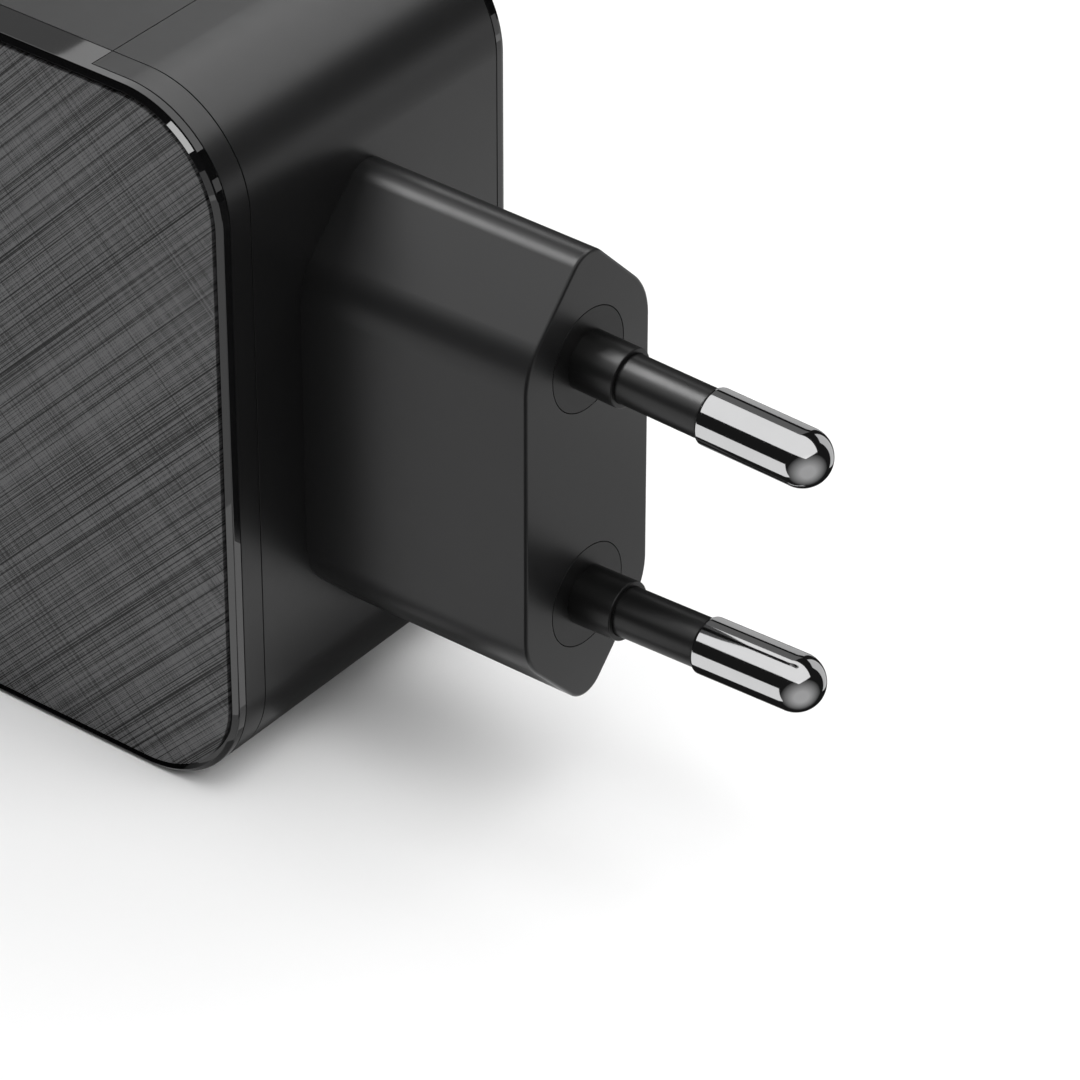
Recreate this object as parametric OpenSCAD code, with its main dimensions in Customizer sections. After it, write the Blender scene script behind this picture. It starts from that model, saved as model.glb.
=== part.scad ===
// Wall charger with three USB ports and a flat two-pin plug.
//
// The origin is the middle of the plug's engagement face, between the pins.
// +Y runs out along the pins, -Y is the port side, +Z is up, and +X is the side
// whose cover has the extra seam. The charger stands on its flat bottom.

/* [Body] */
// Height of the body
body_h = 53.7; // [53:0.1:56]
// Depth of the body from the port side to the rear face
body_d = 50; // [50:0.5:54]
// Width of the body across both side frames
body_w = 29.1; // [29.1:0.1:30]
// Radius of the body's four corners
corner_r = 8.2; // [7.6:0.1:8.4]
// Wall thickness of the shells
wall = 2; // [1.9:0.1:2.1]
// Distance from the rear face to the parting line of the shells
split_d = 11.2; // [10.5:0.1:12]
// Width of the band between the +X seam and the glossy frame
band_w = 2; // [1.8:0.1:2.2]

/* [Side frames] */
// How far the +X frame stands out past its band
rim_right = 1.06; // [0.9:0.02:1.1]
// How far the -X frame stands out past the shells
rim_left = 0.74; // [0.7:0.02:0.8]
// Width and height of the bevel along the +X rim
rim_bevel = 0.35; // [0.25:0.01:0.4]
// Width of the steeper bevel along the -X rim
left_bevel_w = 0.22; // [0.15:0.01:0.3]
// How far that bevel steps in
left_bevel_in = 0.04; // [0.02:0.01:0.1]
// Gap between a rim and the panel inside it
groove_w = 0.35; // [0.25:0.01:0.4]
// Depth of that gap
groove_d = 0.4; // [0.3:0.01:0.45]
// Thickness of the textured panels
panel_t = 0.35; // [0.3:0.01:0.4]

/* [Plug] */
// Length of the plug tower, from the rear face to its engagement face
tower_l = 18.3; // [17:0.1:20]
// Width of the tower across its flats
tower_w = 13.4; // [13:0.1:13.7]
// Height of the tower from point to point
tower_h = 35.9; // [35:0.1:36]
// Height of the slanting part at each end of the tower
tower_slant = 6.4; // [5.8:0.1:6.8]
// Radius of the four side corners of the tower
tower_side_r = 5; // [4:0.1:5.4]
// Radius of the tower's upper and lower points
tower_tip_r = 1.3; // [1:0.1:2]
// Diameter of the pins' metal ends
pin_d = 4; // [4:0.01:4.06]
// Length of the pins from the engagement face
pin_l = 19; // [18.5:0.1:19.5]
// Distance between the pins at the engagement face
pin_pitch_root = 18.5; // [18:0.1:19.2]
// Distance between the pins at their tips
pin_pitch_tip = 17.4; // [17:0.1:18]
// Diameter of the insulating sleeves
sleeve_d = 3.5; // [3.4:0.05:3.8]
// Where the sleeves end and the bare metal starts
sleeve_end = 9.8; // [9.5:0.1:10.5]
// Diameter of the collar at each pin's root
collar_d = 4.2; // [4.1:0.1:4.6]
// Length of the collar
collar_l = 3.4; // [3:0.1:4]
// Diameter of the round insert that holds each pin
bush_d = 7.4; // [7:0.1:7.8]

/* [Ports] */
// Height of each port's centre: upper, middle and lower
port_z = [12.5, 0, -12.5];
// Width of the glossy port fascia
fascia_w = 20; // [18:0.5:21]
// Height of the glossy port fascia
fascia_h = 37; // [36:0.5:37]

/* [Hidden] */
$fn = 96;
far = 60;                                 // longer than anything that is cut
gap = 0.1;                                // running gap between shell pieces
side_x = body_w / 2;
rear_y = -tower_l;
front_y = rear_y - body_d;
split_y = rear_y - split_d;
edge_right = side_x - rim_right;          // where the +X frame meets its band
edge_left = side_x - rim_left;            // where the -X frame meets the shells
seam_x = edge_right - band_w;
face_gap = 0.05;                          // the panels lie this far below the rims
tape_t = 0.1;
panel_x = side_x - face_gap;              // outer surface of a panel
tray_x = panel_x - panel_t - tape_t;      // floor of the recess that holds a panel
panel_inset = rim_bevel + groove_w;
inner_x = 12.6;                           // inner surface of both side frames
lip_t = 0.95;                             // half-thickness lips that locate the shells
lip_l = 2;
tongue_l = 1.2;
tongue_inset = 0.75;

face_wall = 3;                            // tower wall behind the engagement face
tower_wall = 1.6;                         // its other walls
pin_tilt = atan((pin_pitch_root - pin_pitch_tip) / 2 / pin_l);
pin_core_d = 2.4;
pin_tail_d = 3;
pin_tail_l = 9.5;
bush_flange_d = 9;
bush_l = 5;

board_x = -8;                             // component side of the main board
board_t = 1.6;
board_front = -52.9;
board_rear = -21.3;
port_board_y = -53;                       // inner side of the port board
port_board_t = 1.2;
port_back = port_board_y - port_board_t;
tab_z = [-18, 18];                        // tabs that join the two boards
tab_w = 6;
port_mouth = front_y + 0.25;
fascia_t = 1;
fascia_r = 2.5;
usb_c = [8.94, 3.26];                     // outside of the small port's metal shell
usb_a = [13.1, 5.7];                      // outside of the large port's metal shell
usb_t = 0.3;
slim_port_h = 4;                          // a port lower than this has round ends
tongue_c = [6.69, 0.7];
tongue_a = [11.1, 1.84];
tongue_a_z = port_z[2] + 0.7;
contacts_c = 12;                          // contacts on each face of a slim port's tongue
pitch_c = 0.5;
contact_t = 0.06;
base_c_y = -61;                           // where each tongue's base starts
base_a_y = -58.5;

trafo = [0.65, -42, -11.5];               // centre of the transformer
core_w = 22;                              // core size along Z, Y and half of X
core_d = 20;
core_half = 8.5;
core_web = 3.2;
post_r = 4.3;
window_r = 9.3;
bulk_d = 10;
bulk_l = 16.5;
bulk_at = [[-47.2, 5.8], [-47.2, 17], [-36.5, 17]];
choke = [-0.6, -26.2, -0.4];              // centre of the common-mode choke
choke_r = [3.5, 6.5];
choke_t = 6;
choke_wire = 0.7;

// ---------------------------------------------------------------- outlines

function unit(v) = v / norm(v);

// Half the angle between the two sides that meet at p
function half_angle(p, a, b) = acos(unit(a - p) * unit(b - p)) / 2;

// The two points where an arc of radius r leaves the sides that meet at p
function arc_ends(p, a, b, r) =
    let (run = r / tan(half_angle(p, a, b)))
    [p + unit(a - p) * run, p + unit(b - p) * run];

function arc_centre(p, a, b, r) =
    p + unit(unit(a - p) + unit(b - p)) * r / sin(half_angle(p, a, b));

// A convex outline whose corners are true arcs
module rounded_polygon(points, radii) {
    count = len(points);
    polygon([
        for (i = [0 : count - 1])
            let (before = points[(i + count - 1) % count])
            let (after = points[(i + 1) % count])
            each arc_ends(points[i], before, after, radii[i])
    ]);
    for (i = [0 : count - 1]) {
        before = points[(i + count - 1) % count];
        after = points[(i + 1) % count];
        translate(arc_centre(points[i], before, after, radii[i])) circle(radii[i]);
    }
}

module rounded_rect(w, h, r) {
    square([w - 2 * r, h], center = true);
    square([w, h - 2 * r], center = true);
    for (sx = [-1, 1], sy = [-1, 1])
        translate([sx * (w / 2 - r), sy * (h / 2 - r)]) circle(r);
}

// Side view of the body, drawn in from its outer surface
module body_outline(inset) {
    translate([rear_y - body_d / 2, 0])
        rounded_rect(body_d - 2 * inset, body_h - 2 * inset, corner_r - inset);
}

// End view of the tower, drawn in from its outer surface
module tower_outline(inset) {
    half_w = tower_w / 2;
    slope = tower_slant / half_w;
    tip = tower_h / 2 - inset * norm([half_w, tower_slant]) / half_w;
    side = half_w - inset;
    shoulder = tip - side * slope;
    side_r = tower_side_r - inset;
    tip_r = max(tower_tip_r - inset, 0.5);
    rounded_polygon(
        [[side, -shoulder], [side, shoulder], [0, tip],
         [-side, shoulder], [-side, -shoulder], [0, -tip]],
        [side_r, side_r, tip_r, side_r, side_r, tip_r]
    );
}

// ---------------------------------------------------------------- helpers

// Extrudes a side view from x0 to x1
module slab(x0, x1) {
    translate([x0, 0, 0]) rotate([90, 0, 90]) linear_extrude(x1 - x0) children();
}

// Extrudes an end view from y0 to y1
module along_y(y0, y1) {
    translate([0, y1, 0]) rotate([90, 0, 0]) linear_extrude(y1 - y0) children();
}

module box(x, y, z) {
    translate([x[0], y[0], z[0]]) cube([x[1] - x[0], y[1] - y[0], z[1] - z[0]]);
}

module between_y(y0, y1) {
    intersection() {
        children();
        box([-far, far], [y0, y1], [-far, far]);
    }
}

// A wall that runs round the body, between two insets
module case_wall(x0, x1, outer, inner) {
    slab(x0, x1) difference() {
        body_outline(outer);
        body_outline(inner);
    }
}

// Local +Z becomes the way the pin on that side points, from the engagement face
module on_pin(side) {
    translate([0, 0, side * pin_pitch_root / 2])
        rotate([-90 - side * pin_tilt, 0, 0]) children();
}

module rod(z0, z1, d) {
    translate([0, 0, z0]) cylinder(h = z1 - z0, d = d);
}

module tube(z0, z1, outer, inner) {
    difference() {
        rod(z0, z1, outer);
        rod(z0 - 1, z1 + 1, inner);
    }
}

// ---------------------------------------------------------------- enclosure

// What the lips and tongues of the neighbouring pieces need
module shell_rebates() {
    slab(seam_x - tongue_l - gap, seam_x + 1) body_outline(wall - lip_t - gap / 2);
    slab(-edge_left - 1, -inner_x + gap) body_outline(tongue_inset - gap / 2);
}

module rear_shell() color([0.16, 0.16, 0.165]) difference() {
    union() {
        between_y(split_y, far) case_wall(-edge_left, seam_x, 0, wall);
        between_y(split_y - lip_l, split_y + 1)
            case_wall(-inner_x + 1, seam_x - 2, wall - lip_t, wall);
        along_y(rear_y - wall, 0) tower_outline(0);
    }
    shell_rebates();
    along_y(rear_y - wall - 1, -face_wall) tower_outline(tower_wall);
    for (side = [-1, 1])
        translate([0, 0, side * pin_pitch_root / 2]) rotate([90, 0, 0])
            cylinder(h = 2 * face_wall + 1, d = bush_d + gap, center = true);
}

// Ribs on the top and bottom walls, either side of a board's edge
module board_rails() {
    rail_h = 1.6;
    for (side = [-1, 1], edge = [board_x + 0.15, board_x - board_t - 1.1])
        translate([edge, -51, side * (body_h / 2 - wall - rail_h / 2 + 0.25)])
            translate([0, 0, -rail_h / 2]) cube([0.95, 17, rail_h]);
    for (side = [-1, 1], edge = [port_board_y + gap, port_back - 1])
        translate([-4, edge, side * (body_h / 2 - wall - rail_h / 2 + 0.25) - rail_h / 2])
            cube([8, 0.9, rail_h]);
}

module port_outline(size, clearance) {
    w = size[0] + 2 * clearance;
    h = size[1] + 2 * clearance;
    rounded_rect(w, h, size[1] < slim_port_h ? h / 2 - 0.01 : 0.6 + clearance);
}

// The three port openings, drawn in the end view
module port_openings(clearance) {
    for (i = [0, 1]) translate([0, port_z[i]]) port_outline(usb_c, clearance);
    translate([0, port_z[2]]) port_outline(usb_a, clearance);
}

module fascia_pegs(d) {
    for (sx = [-1, 1], z = [-6.4, 6.4]) translate([sx * 8, z]) circle(d = d);
}

module front_shell() color([0.16, 0.16, 0.165]) difference() {
    union() {
        between_y(-far * 2, split_y) case_wall(-edge_left, seam_x, 0, wall);
        board_rails();
    }
    shell_rebates();
    between_y(split_y - lip_l - gap, split_y + 1)
        slab(-far, far) body_outline(wall - lip_t - gap / 2);
    along_y(front_y - 1, front_y + fascia_t)
        rounded_rect(fascia_w + gap, fascia_h + gap, fascia_r);
    along_y(front_y - 1, front_y + wall + 1) port_openings(0.2);
    along_y(front_y - 1, front_y + wall + 1) fascia_pegs(1.6 + gap);
}

module port_fascia() color([0.05, 0.05, 0.05]) {
    difference() {
        along_y(front_y, front_y + fascia_t) rounded_rect(fascia_w, fascia_h, fascia_r);
        along_y(front_y - 1, front_y + wall) port_openings(0.12);
    }
    along_y(front_y + fascia_t / 2, front_y + wall - gap) fascia_pegs(1.6);
}

module rear_band() color([0.16, 0.16, 0.165]) {
    between_y(split_y, far) case_wall(seam_x, edge_right, 0, wall);
    between_y(split_y, far) case_wall(seam_x - tongue_l, seam_x + 1, wall - lip_t, wall);
}

// A rounded slab whose edge slants in from inset i0 at x0 to inset i1 at x1
module bevelled_slab(x0, x1, i0, i1) {
    ym = rear_y - body_d / 2;
    run_y = body_d / 2 - corner_r;
    run_z = body_h / 2 - corner_r;
    y0 = body_d / 2 - i0;
    y1 = body_d / 2 - i1;
    z0 = body_h / 2 - i0;
    z1 = body_h / 2 - i1;
    translate([0, ym + run_y, 0]) rotate([90, 0, 0]) linear_extrude(2 * run_y)
        polygon([[x0, -z0], [x0, z0], [x1, z1], [x1, -z1]]);
    translate([0, ym, -run_z]) linear_extrude(2 * run_z)
        polygon([[x0, -y0], [x0, y0], [x1, y1], [x1, -y1]]);
    for (sy = [-1, 1], sz = [-1, 1])
        translate([x0, ym + sy * run_y, sz * run_z]) rotate([0, 90, 0])
            cylinder(h = x1 - x0, r1 = corner_r - i0, r2 = corner_r - i1);
}

// A glossy tray, drawn for the +X side: rim, groove and the recess for the panel
module side_tray(edge, bevel_w, bevel_in) {
    difference() {
        union() {
            slab(edge, side_x - bevel_w) body_outline(0);
            bevelled_slab(side_x - bevel_w, side_x, 0, bevel_in);
        }
        slab(side_x - groove_d, side_x + 1) body_outline(rim_bevel);
        slab(tray_x, side_x + 1) body_outline(panel_inset);
    }
}

module side_frame_right() color([0.04, 0.04, 0.04]) {
    side_tray(edge_right, rim_bevel, rim_bevel);
    slab(inner_x, edge_right + 0.2) body_outline(wall + gap);
    between_y(-far * 2, split_y) {
        case_wall(seam_x, edge_right + 0.2, 0, wall);
        case_wall(seam_x - tongue_l, seam_x + 1, wall - lip_t, wall);
    }
}

module side_frame_left() color([0.04, 0.04, 0.04]) mirror([1, 0, 0]) {
    side_tray(edge_left, left_bevel_w, left_bevel_in);
    slab(inner_x, edge_left + 0.05) body_outline(tongue_inset);
}

module side_panel() {
    slab(panel_x - panel_t, panel_x) body_outline(panel_inset + 0.02);
}

module panel_tape() {
    slab(tray_x, tray_x + tape_t) body_outline(panel_inset + 1.2);
}

module side_panel_right() color([0.31, 0.31, 0.31]) side_panel();
module side_panel_left() color([0.31, 0.31, 0.31]) mirror([1, 0, 0]) side_panel();
module panel_tape_right() color([0.85, 0.82, 0.7]) panel_tape();
module panel_tape_left() color([0.85, 0.82, 0.7]) mirror([1, 0, 0]) panel_tape();

// ---------------------------------------------------------------- plug

// Turned pin: tail, stop flange, thin core under the sleeve, and full-size end
module pin(side) {
    flange_d = 5;
    on_pin(side) {
        rod(-pin_tail_l, -bush_l - 0.8, pin_tail_d);
        rod(-bush_l - 0.8, -bush_l, flange_d);
        rod(-bush_l, sleeve_end, pin_core_d);
        rod(sleeve_end, pin_l - pin_d / 2, pin_d);
        translate([0, 0, pin_l - pin_d / 2]) sphere(d = pin_d);
    }
}

module pin_sleeve(side) {
    on_pin(side) tube(-bush_l, sleeve_end, sleeve_d, pin_core_d);
}

// Round insert, flush with the engagement face, with the collar that holds the sleeve
module pin_bush(side) {
    difference() {
        union() {
            translate([0, 0, side * pin_pitch_root / 2]) rotate([90, 0, 0]) {
                rod(0, face_wall + gap, bush_d);
                rod(face_wall, bush_l - 0.2, bush_flange_d);
            }
            on_pin(side) rod(-1, collar_l, collar_d);
        }
        on_pin(side) rod(-far, far, sleeve_d);
    }
}

module pin_upper() color([0.8, 0.8, 0.8]) pin(1);
module pin_lower() color([0.8, 0.8, 0.8]) pin(-1);
module pin_sleeve_upper() color([0.1, 0.1, 0.1]) pin_sleeve(1);
module pin_sleeve_lower() color([0.1, 0.1, 0.1]) pin_sleeve(-1);
module pin_bush_upper() color([0.12, 0.12, 0.12]) pin_bush(1);
module pin_bush_lower() color([0.12, 0.12, 0.12]) pin_bush(-1);

// Bent strip from a pin's tail to its pad on the main board
module contact_strip(side) {
    strip_t = 0.6;
    strip_w = 3;
    tail_x = pin_tail_d / 2 + 0.02;
    mirror([0, 0, side < 0 ? 1 : 0]) translate([0, 0, pin_pitch_root / 2 - 1.3]) {
        box([tail_x, tail_x + strip_t], [-21.4, -6.2], [0, strip_w]);
        box([board_x, tail_x + strip_t], [-21.4, -20.8], [0, strip_w]);
        box([board_x, board_x + strip_t], [-23.4, -20.8], [0, strip_w]);
    }
}

module contact_strip_upper() color([0.75, 0.6, 0.25]) contact_strip(1);
module contact_strip_lower() color([0.75, 0.6, 0.25]) contact_strip(-1);

// ---------------------------------------------------------------- boards and sheets

module main_board() color([0.1, 0.35, 0.2]) {
    slab(board_x - board_t, board_x) intersection() {
        body_outline(wall + 0.4);
        translate([board_front, -far]) square([board_rear - board_front, 2 * far]);
    }
    for (z = tab_z)
        box([board_x - board_t, board_x], [port_back - 0.5, board_front + 1],
            [z - tab_w / 2, z + tab_w / 2]);
}

module port_board() color([0.1, 0.35, 0.2]) difference() {
    box([-12.2, 12.2], [port_back, port_board_y], [-24.4, 24.4]);
    for (z = tab_z)
        box([board_x - board_t - gap, board_x + gap], [port_back - 1, port_board_y + 1],
            [z - tab_w / 2 - gap, z + tab_w / 2 + gap]);
}

module insulation_sheet() color([0.9, 0.9, 0.85]) slab(-11.2, -10.9)
    translate([-36.8, 0]) rounded_rect(30, 44, 4);

module isolation_barrier() color([0.9, 0.88, 0.8])
    along_y(-52.7, -52.3) translate([2, 0]) rounded_rect(19, 45, 1);

module heat_spreader() {
    slab(11.6, 12.4) translate([-37, 0]) rounded_rect(29, 42, 4);
}

module heat_spreader_right() color([0.75, 0.76, 0.78]) heat_spreader();
module heat_spreader_left() color([0.75, 0.76, 0.78]) mirror([1, 0, 0]) heat_spreader();

module thermal_pad() color([0.55, 0.65, 0.8])
    slab(trafo[0] + core_half, 11.6) translate([trafo[1], trafo[2]])
        rounded_rect(core_d - 2, core_w - 2, 1);

// ---------------------------------------------------------------- transformer

// Local Z becomes +X, and local X and Y become -Z and +Y
module on_board(at) {
    translate(at) rotate([0, 90, 0]) children();
}

module core_piece() {
    translate([-core_w / 2, -core_d / 2, core_half - core_web])
        cube([core_w, core_d, core_web]);
    rod(0, core_half, 2 * post_r);
    difference() {
        translate([-core_w / 2, -core_d / 2, 0]) cube([core_w, core_d, core_half]);
        rod(-1, core_half + 1, 2 * window_r);
        translate([-6.5, -far / 2, -1]) cube([13, far, core_half + 2]);
    }
}

module transformer_core_outer() color([0.25, 0.24, 0.24]) on_board(trafo) core_piece();
module transformer_core_inner() color([0.25, 0.24, 0.24])
    on_board(trafo) mirror([0, 0, 1]) core_piece();

module transformer_bobbin() color([0.12, 0.12, 0.12]) on_board(trafo) {
    reach = core_half - core_web - gap;
    tube(-reach, reach, 2 * post_r + 1.3, 2 * post_r + 0.1);
    for (z = [-reach, reach - 0.7]) tube(z, z + 0.7, 18.2, 2 * post_r + 0.1);
}

module winding(inner, outer) {
    reach = core_half - core_web - gap - 0.75;
    on_board(trafo) tube(-reach, reach, outer, inner);
}

module primary_winding() color([0.72, 0.42, 0.2]) winding(10, 13.6);
module secondary_winding() color([0.85, 0.65, 0.3]) winding(13.7, 16.8);
module winding_tape() color([0.9, 0.8, 0.2]) winding(16.9, 17.6);

// ---------------------------------------------------------------- mains side

// Aluminium can in its sleeve, with the rolled groove near the leads
module bulk_capacitor(i) {
    on_board([board_x + 0.05, bulk_at[i][0], bulk_at[i][1]]) difference() {
        rod(0, bulk_l, bulk_d);
        tube(1.8, 2.6, bulk_d + 2, bulk_d - 1);
        rod(bulk_l - 0.3, bulk_l + 1, bulk_d - 1.6);
    }
}

module bulk_capacitor_1() color([0.1, 0.1, 0.14]) bulk_capacitor(0);
module bulk_capacitor_2() color([0.1, 0.1, 0.14]) bulk_capacitor(1);
module bulk_capacitor_3() color([0.1, 0.1, 0.14]) bulk_capacitor(2);

module x_capacitor() color([0.9, 0.75, 0.15])
    slab(board_x + 0.3, 4) translate([-26.7, -15.5]) rounded_rect(5.8, 13, 0.5);

// A dipped disc with rounded rims, its axis along local Z
module disc(d, t) {
    core = d - t;
    cylinder(h = t, d = core, center = true);
    rotate_extrude() translate([core / 2, 0]) circle(d = t);
}

module y_capacitor() color([0.2, 0.45, 0.75])
    translate([-1, -34.8, 5.5]) disc(6.4, 3);

module inrush_thermistor() color([0.15, 0.3, 0.2])
    translate([-3.2, -26.4, 13]) rotate([90, 0, 0]) disc(7.6, 3.4);

module fuse() color([0.15, 0.15, 0.15])
    slab(board_x, 0) translate([-26, 19.9]) rounded_rect(8, 3.8, 0.4);

// Local Z of the choke lies along Y
module on_choke() {
    translate(choke) rotate([90, 0, 0]) children();
}

module choke_core() color([0.3, 0.5, 0.35]) on_choke()
    tube(-choke_t / 2, choke_t / 2, 2 * choke_r[1], 2 * choke_r[0]);

// One winding, wrapped round the core over part of its ring
module choke_winding(start) {
    sweep = 130;
    h = choke_t + 2 * choke_wire;
    on_choke() rotate([0, 0, start]) rotate_extrude(angle = sweep) difference() {
        translate([choke_r[0] - choke_wire, -h / 2])
            square([choke_r[1] - choke_r[0] + 2 * choke_wire, h]);
        translate([choke_r[0], -choke_t / 2])
            square([choke_r[1] - choke_r[0], choke_t]);
    }
}

module choke_winding_live() color([0.72, 0.42, 0.2]) choke_winding(-65);
module choke_winding_neutral() color([0.72, 0.42, 0.2]) choke_winding(115);

// A chip body with a row of leads on two sides, flat on the board at z = 0
module chip(l, w, h, leads, pitch) {
    lead_w = 0.4;
    translate([-l / 2, -w / 2, 0.1]) cube([l, w, h]);
    for (s = [-1, 1], i = [0 : leads - 1])
        translate([(i - (leads - 1) / 2) * pitch - lead_w / 2,
                   s * (w / 2 + 0.35) - 0.4, 0])
            cube([lead_w, 0.8, 0.3]);
}

module bridge_rectifier() color([0.08, 0.08, 0.08])
    on_board([board_x, -34.8, 5.6]) chip(8.4, 5, 2.5, 2, 5.1);

module optocoupler() color([0.08, 0.08, 0.08])
    on_board([board_x, -40, 5.6]) chip(4.6, 2.8, 2, 2, 2.5);

// The chips on the solder side face -X
module under_board(y, z) {
    translate([board_x - board_t, y, z]) rotate([0, -90, 0]) children();
}

module primary_switch() color([0.08, 0.08, 0.08])
    under_board(-40, -8) chip(7, 7, 0.8, 6, 1.1);
module primary_controller() color([0.08, 0.08, 0.08])
    under_board(-28, -4) chip(5, 4, 1, 5, 0.9);
module sync_rectifier() color([0.08, 0.08, 0.08])
    under_board(-48, 16) chip(6, 5, 0.9, 4, 1.3);

// ---------------------------------------------------------------- port side

// Local Z points out of the port board, towards the port side
module on_port_board(x, z) {
    translate([x, port_back, z]) rotate([90, 0, 0]) children();
}

module output_capacitor(x) {
    on_port_board(x, 6.3) difference() {
        rod(0, 8, 6.3);
        tube(1, 1.5, 8, 5.7);
    }
}

module output_capacitor_1() color([0.8, 0.8, 0.82]) output_capacitor(-6.8);
module output_capacitor_2() color([0.8, 0.8, 0.82]) output_capacitor(0);

// Moulded inductor with its two end terminals
module output_inductor(x, z) {
    on_port_board(x, z) {
        translate([0, 0, 0.1]) linear_extrude(3.4) rounded_rect(6.6, 6.4, 0.5);
        for (s = [-1, 1]) translate([s * 2.6 - 0.6, -1.5, 0]) cube([1.2, 3, 0.3]);
    }
}

module output_inductor_1() color([0.3, 0.3, 0.3]) output_inductor(7.2, 6.3);
module output_inductor_2() color([0.3, 0.3, 0.3]) output_inductor(-6.4, -5.6);

module port_controller() color([0.08, 0.08, 0.08])
    on_port_board(4, -5.6) chip(4, 4, 0.8, 6, 0.6);

// Drawn metal shell of a port, open towards the user
module port_shell(i, size) {
    along_y(port_mouth, port_back) translate([0, port_z[i]]) difference() {
        port_outline(size, 0);
        port_outline(size, -usb_t);
    }
}

module usb_c_tongue(i) {
    along_y(base_c_y, port_back)
        translate([0, port_z[i]]) port_outline(usb_c, -usb_t - 0.02);
    along_y(port_mouth + 0.9, base_c_y + 0.5)
        translate([0, port_z[i]]) rounded_rect(tongue_c[0], tongue_c[1], 0.3);
}

module usb_a_tongue() color([0.1, 0.1, 0.1]) {
    along_y(base_a_y, port_back)
        translate([0, port_z[2]]) port_outline(usb_a, -usb_t - 0.02);
    along_y(port_mouth + 0.7, base_a_y + 0.5)
        translate([0, tongue_a_z]) rounded_rect(tongue_a[0], tongue_a[1], 0.3);
}

// Gold strips on both faces of the two small tongues
module usb_c_contacts() color([0.85, 0.7, 0.3])
    for (i = [0, 1], side = [0, 1], n = [0 : contacts_c - 1])
        translate([(n - (contacts_c - 1) / 2) * pitch_c - pitch_c / 4,
                   port_mouth + 1.3,
                   port_z[i] + (side - 0.5) * (tongue_c[1] + contact_t) - contact_t / 2])
            cube([pitch_c / 2, 4.4, contact_t]);

// Gold strips under the large tongue
module usb_a_contacts() color([0.85, 0.7, 0.3])
    for (x = [-3.5, -1, 1, 3.5])
        translate([x - 0.5, port_mouth + 1.2, tongue_a_z - tongue_a[1] / 2 - contact_t])
            cube([1, 7, contact_t]);

module usb_c_shell_upper() color([0.7, 0.71, 0.73]) port_shell(0, usb_c);
module usb_c_shell_middle() color([0.7, 0.71, 0.73]) port_shell(1, usb_c);
module usb_a_shell() color([0.7, 0.71, 0.73]) port_shell(2, usb_a);
module usb_c_tongue_upper() color([0.1, 0.1, 0.1]) usb_c_tongue(0);
module usb_c_tongue_middle() color([0.1, 0.1, 0.1]) usb_c_tongue(1);

// ---------------------------------------------------------------- nodes

rear_shell();
front_shell();
rear_band();
side_frame_right();
side_frame_left();
side_panel_right();
side_panel_left();
panel_tape_right();
panel_tape_left();
port_fascia();
pin_upper();
pin_lower();
pin_sleeve_upper();
pin_sleeve_lower();
pin_bush_upper();
pin_bush_lower();
contact_strip_upper();
contact_strip_lower();
main_board();
port_board();
insulation_sheet();
isolation_barrier();
heat_spreader_right();
heat_spreader_left();
thermal_pad();
transformer_core_inner();
transformer_core_outer();
transformer_bobbin();
primary_winding();
secondary_winding();
winding_tape();
bulk_capacitor_1();
bulk_capacitor_2();
bulk_capacitor_3();
x_capacitor();
y_capacitor();
choke_core();
choke_winding_live();
choke_winding_neutral();
fuse();
inrush_thermistor();
bridge_rectifier();
primary_switch();
primary_controller();
optocoupler();
sync_rectifier();
output_capacitor_1();
output_capacitor_2();
output_inductor_1();
output_inductor_2();
port_controller();
usb_c_shell_upper();
usb_c_shell_middle();
usb_c_tongue_upper();
usb_c_tongue_middle();
usb_c_contacts();
usb_a_shell();
usb_a_tongue();
usb_a_contacts();
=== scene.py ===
"""Studio scene of a wall charger with a flat two-pin plug.

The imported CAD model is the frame. The outside pieces are rebuilt here as fine meshes
in the same place, and every inner CAD piece keeps its shape and gets a material.
Lengths are millimetres in the frame's axes, unless their name or comment says metres.
"""
import math

import bmesh
import bpy
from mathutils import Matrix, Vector
from mathutils.geometry import tessellate_polygon


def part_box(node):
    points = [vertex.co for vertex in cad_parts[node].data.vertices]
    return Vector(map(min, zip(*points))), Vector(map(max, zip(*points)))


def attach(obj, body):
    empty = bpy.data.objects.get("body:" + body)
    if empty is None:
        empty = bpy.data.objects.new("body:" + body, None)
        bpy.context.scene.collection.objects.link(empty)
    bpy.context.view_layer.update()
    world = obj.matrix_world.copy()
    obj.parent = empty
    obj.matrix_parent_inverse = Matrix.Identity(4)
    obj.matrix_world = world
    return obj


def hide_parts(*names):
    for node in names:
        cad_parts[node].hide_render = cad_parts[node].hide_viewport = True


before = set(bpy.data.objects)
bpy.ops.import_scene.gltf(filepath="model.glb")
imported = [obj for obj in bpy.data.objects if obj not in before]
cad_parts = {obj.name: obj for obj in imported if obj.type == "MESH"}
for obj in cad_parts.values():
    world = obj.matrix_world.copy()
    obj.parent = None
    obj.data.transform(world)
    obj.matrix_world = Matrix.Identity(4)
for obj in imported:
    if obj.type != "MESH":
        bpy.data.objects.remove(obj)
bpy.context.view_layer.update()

MM = 0.001


def add_object(name, data):
    thing = bpy.data.objects.new(name, data)
    bpy.context.scene.collection.objects.link(thing)
    return thing


# ---- sizes from the frame


def box_mm(node):
    """Lowest and highest corner of a CAD node, in millimetres."""
    low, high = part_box(node)
    return low / MM, high / MM


frame_low, frame_high = box_mm("side_frame_right")
shell_low, shell_high = box_mm("front_shell")
band_high = box_mm("rear_band")[1]
tower_high = box_mm("rear_shell")[1]
panel_low, panel_high = box_mm("side_panel_right")
fascia_low, fascia_high = box_mm("port_fascia")

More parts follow.
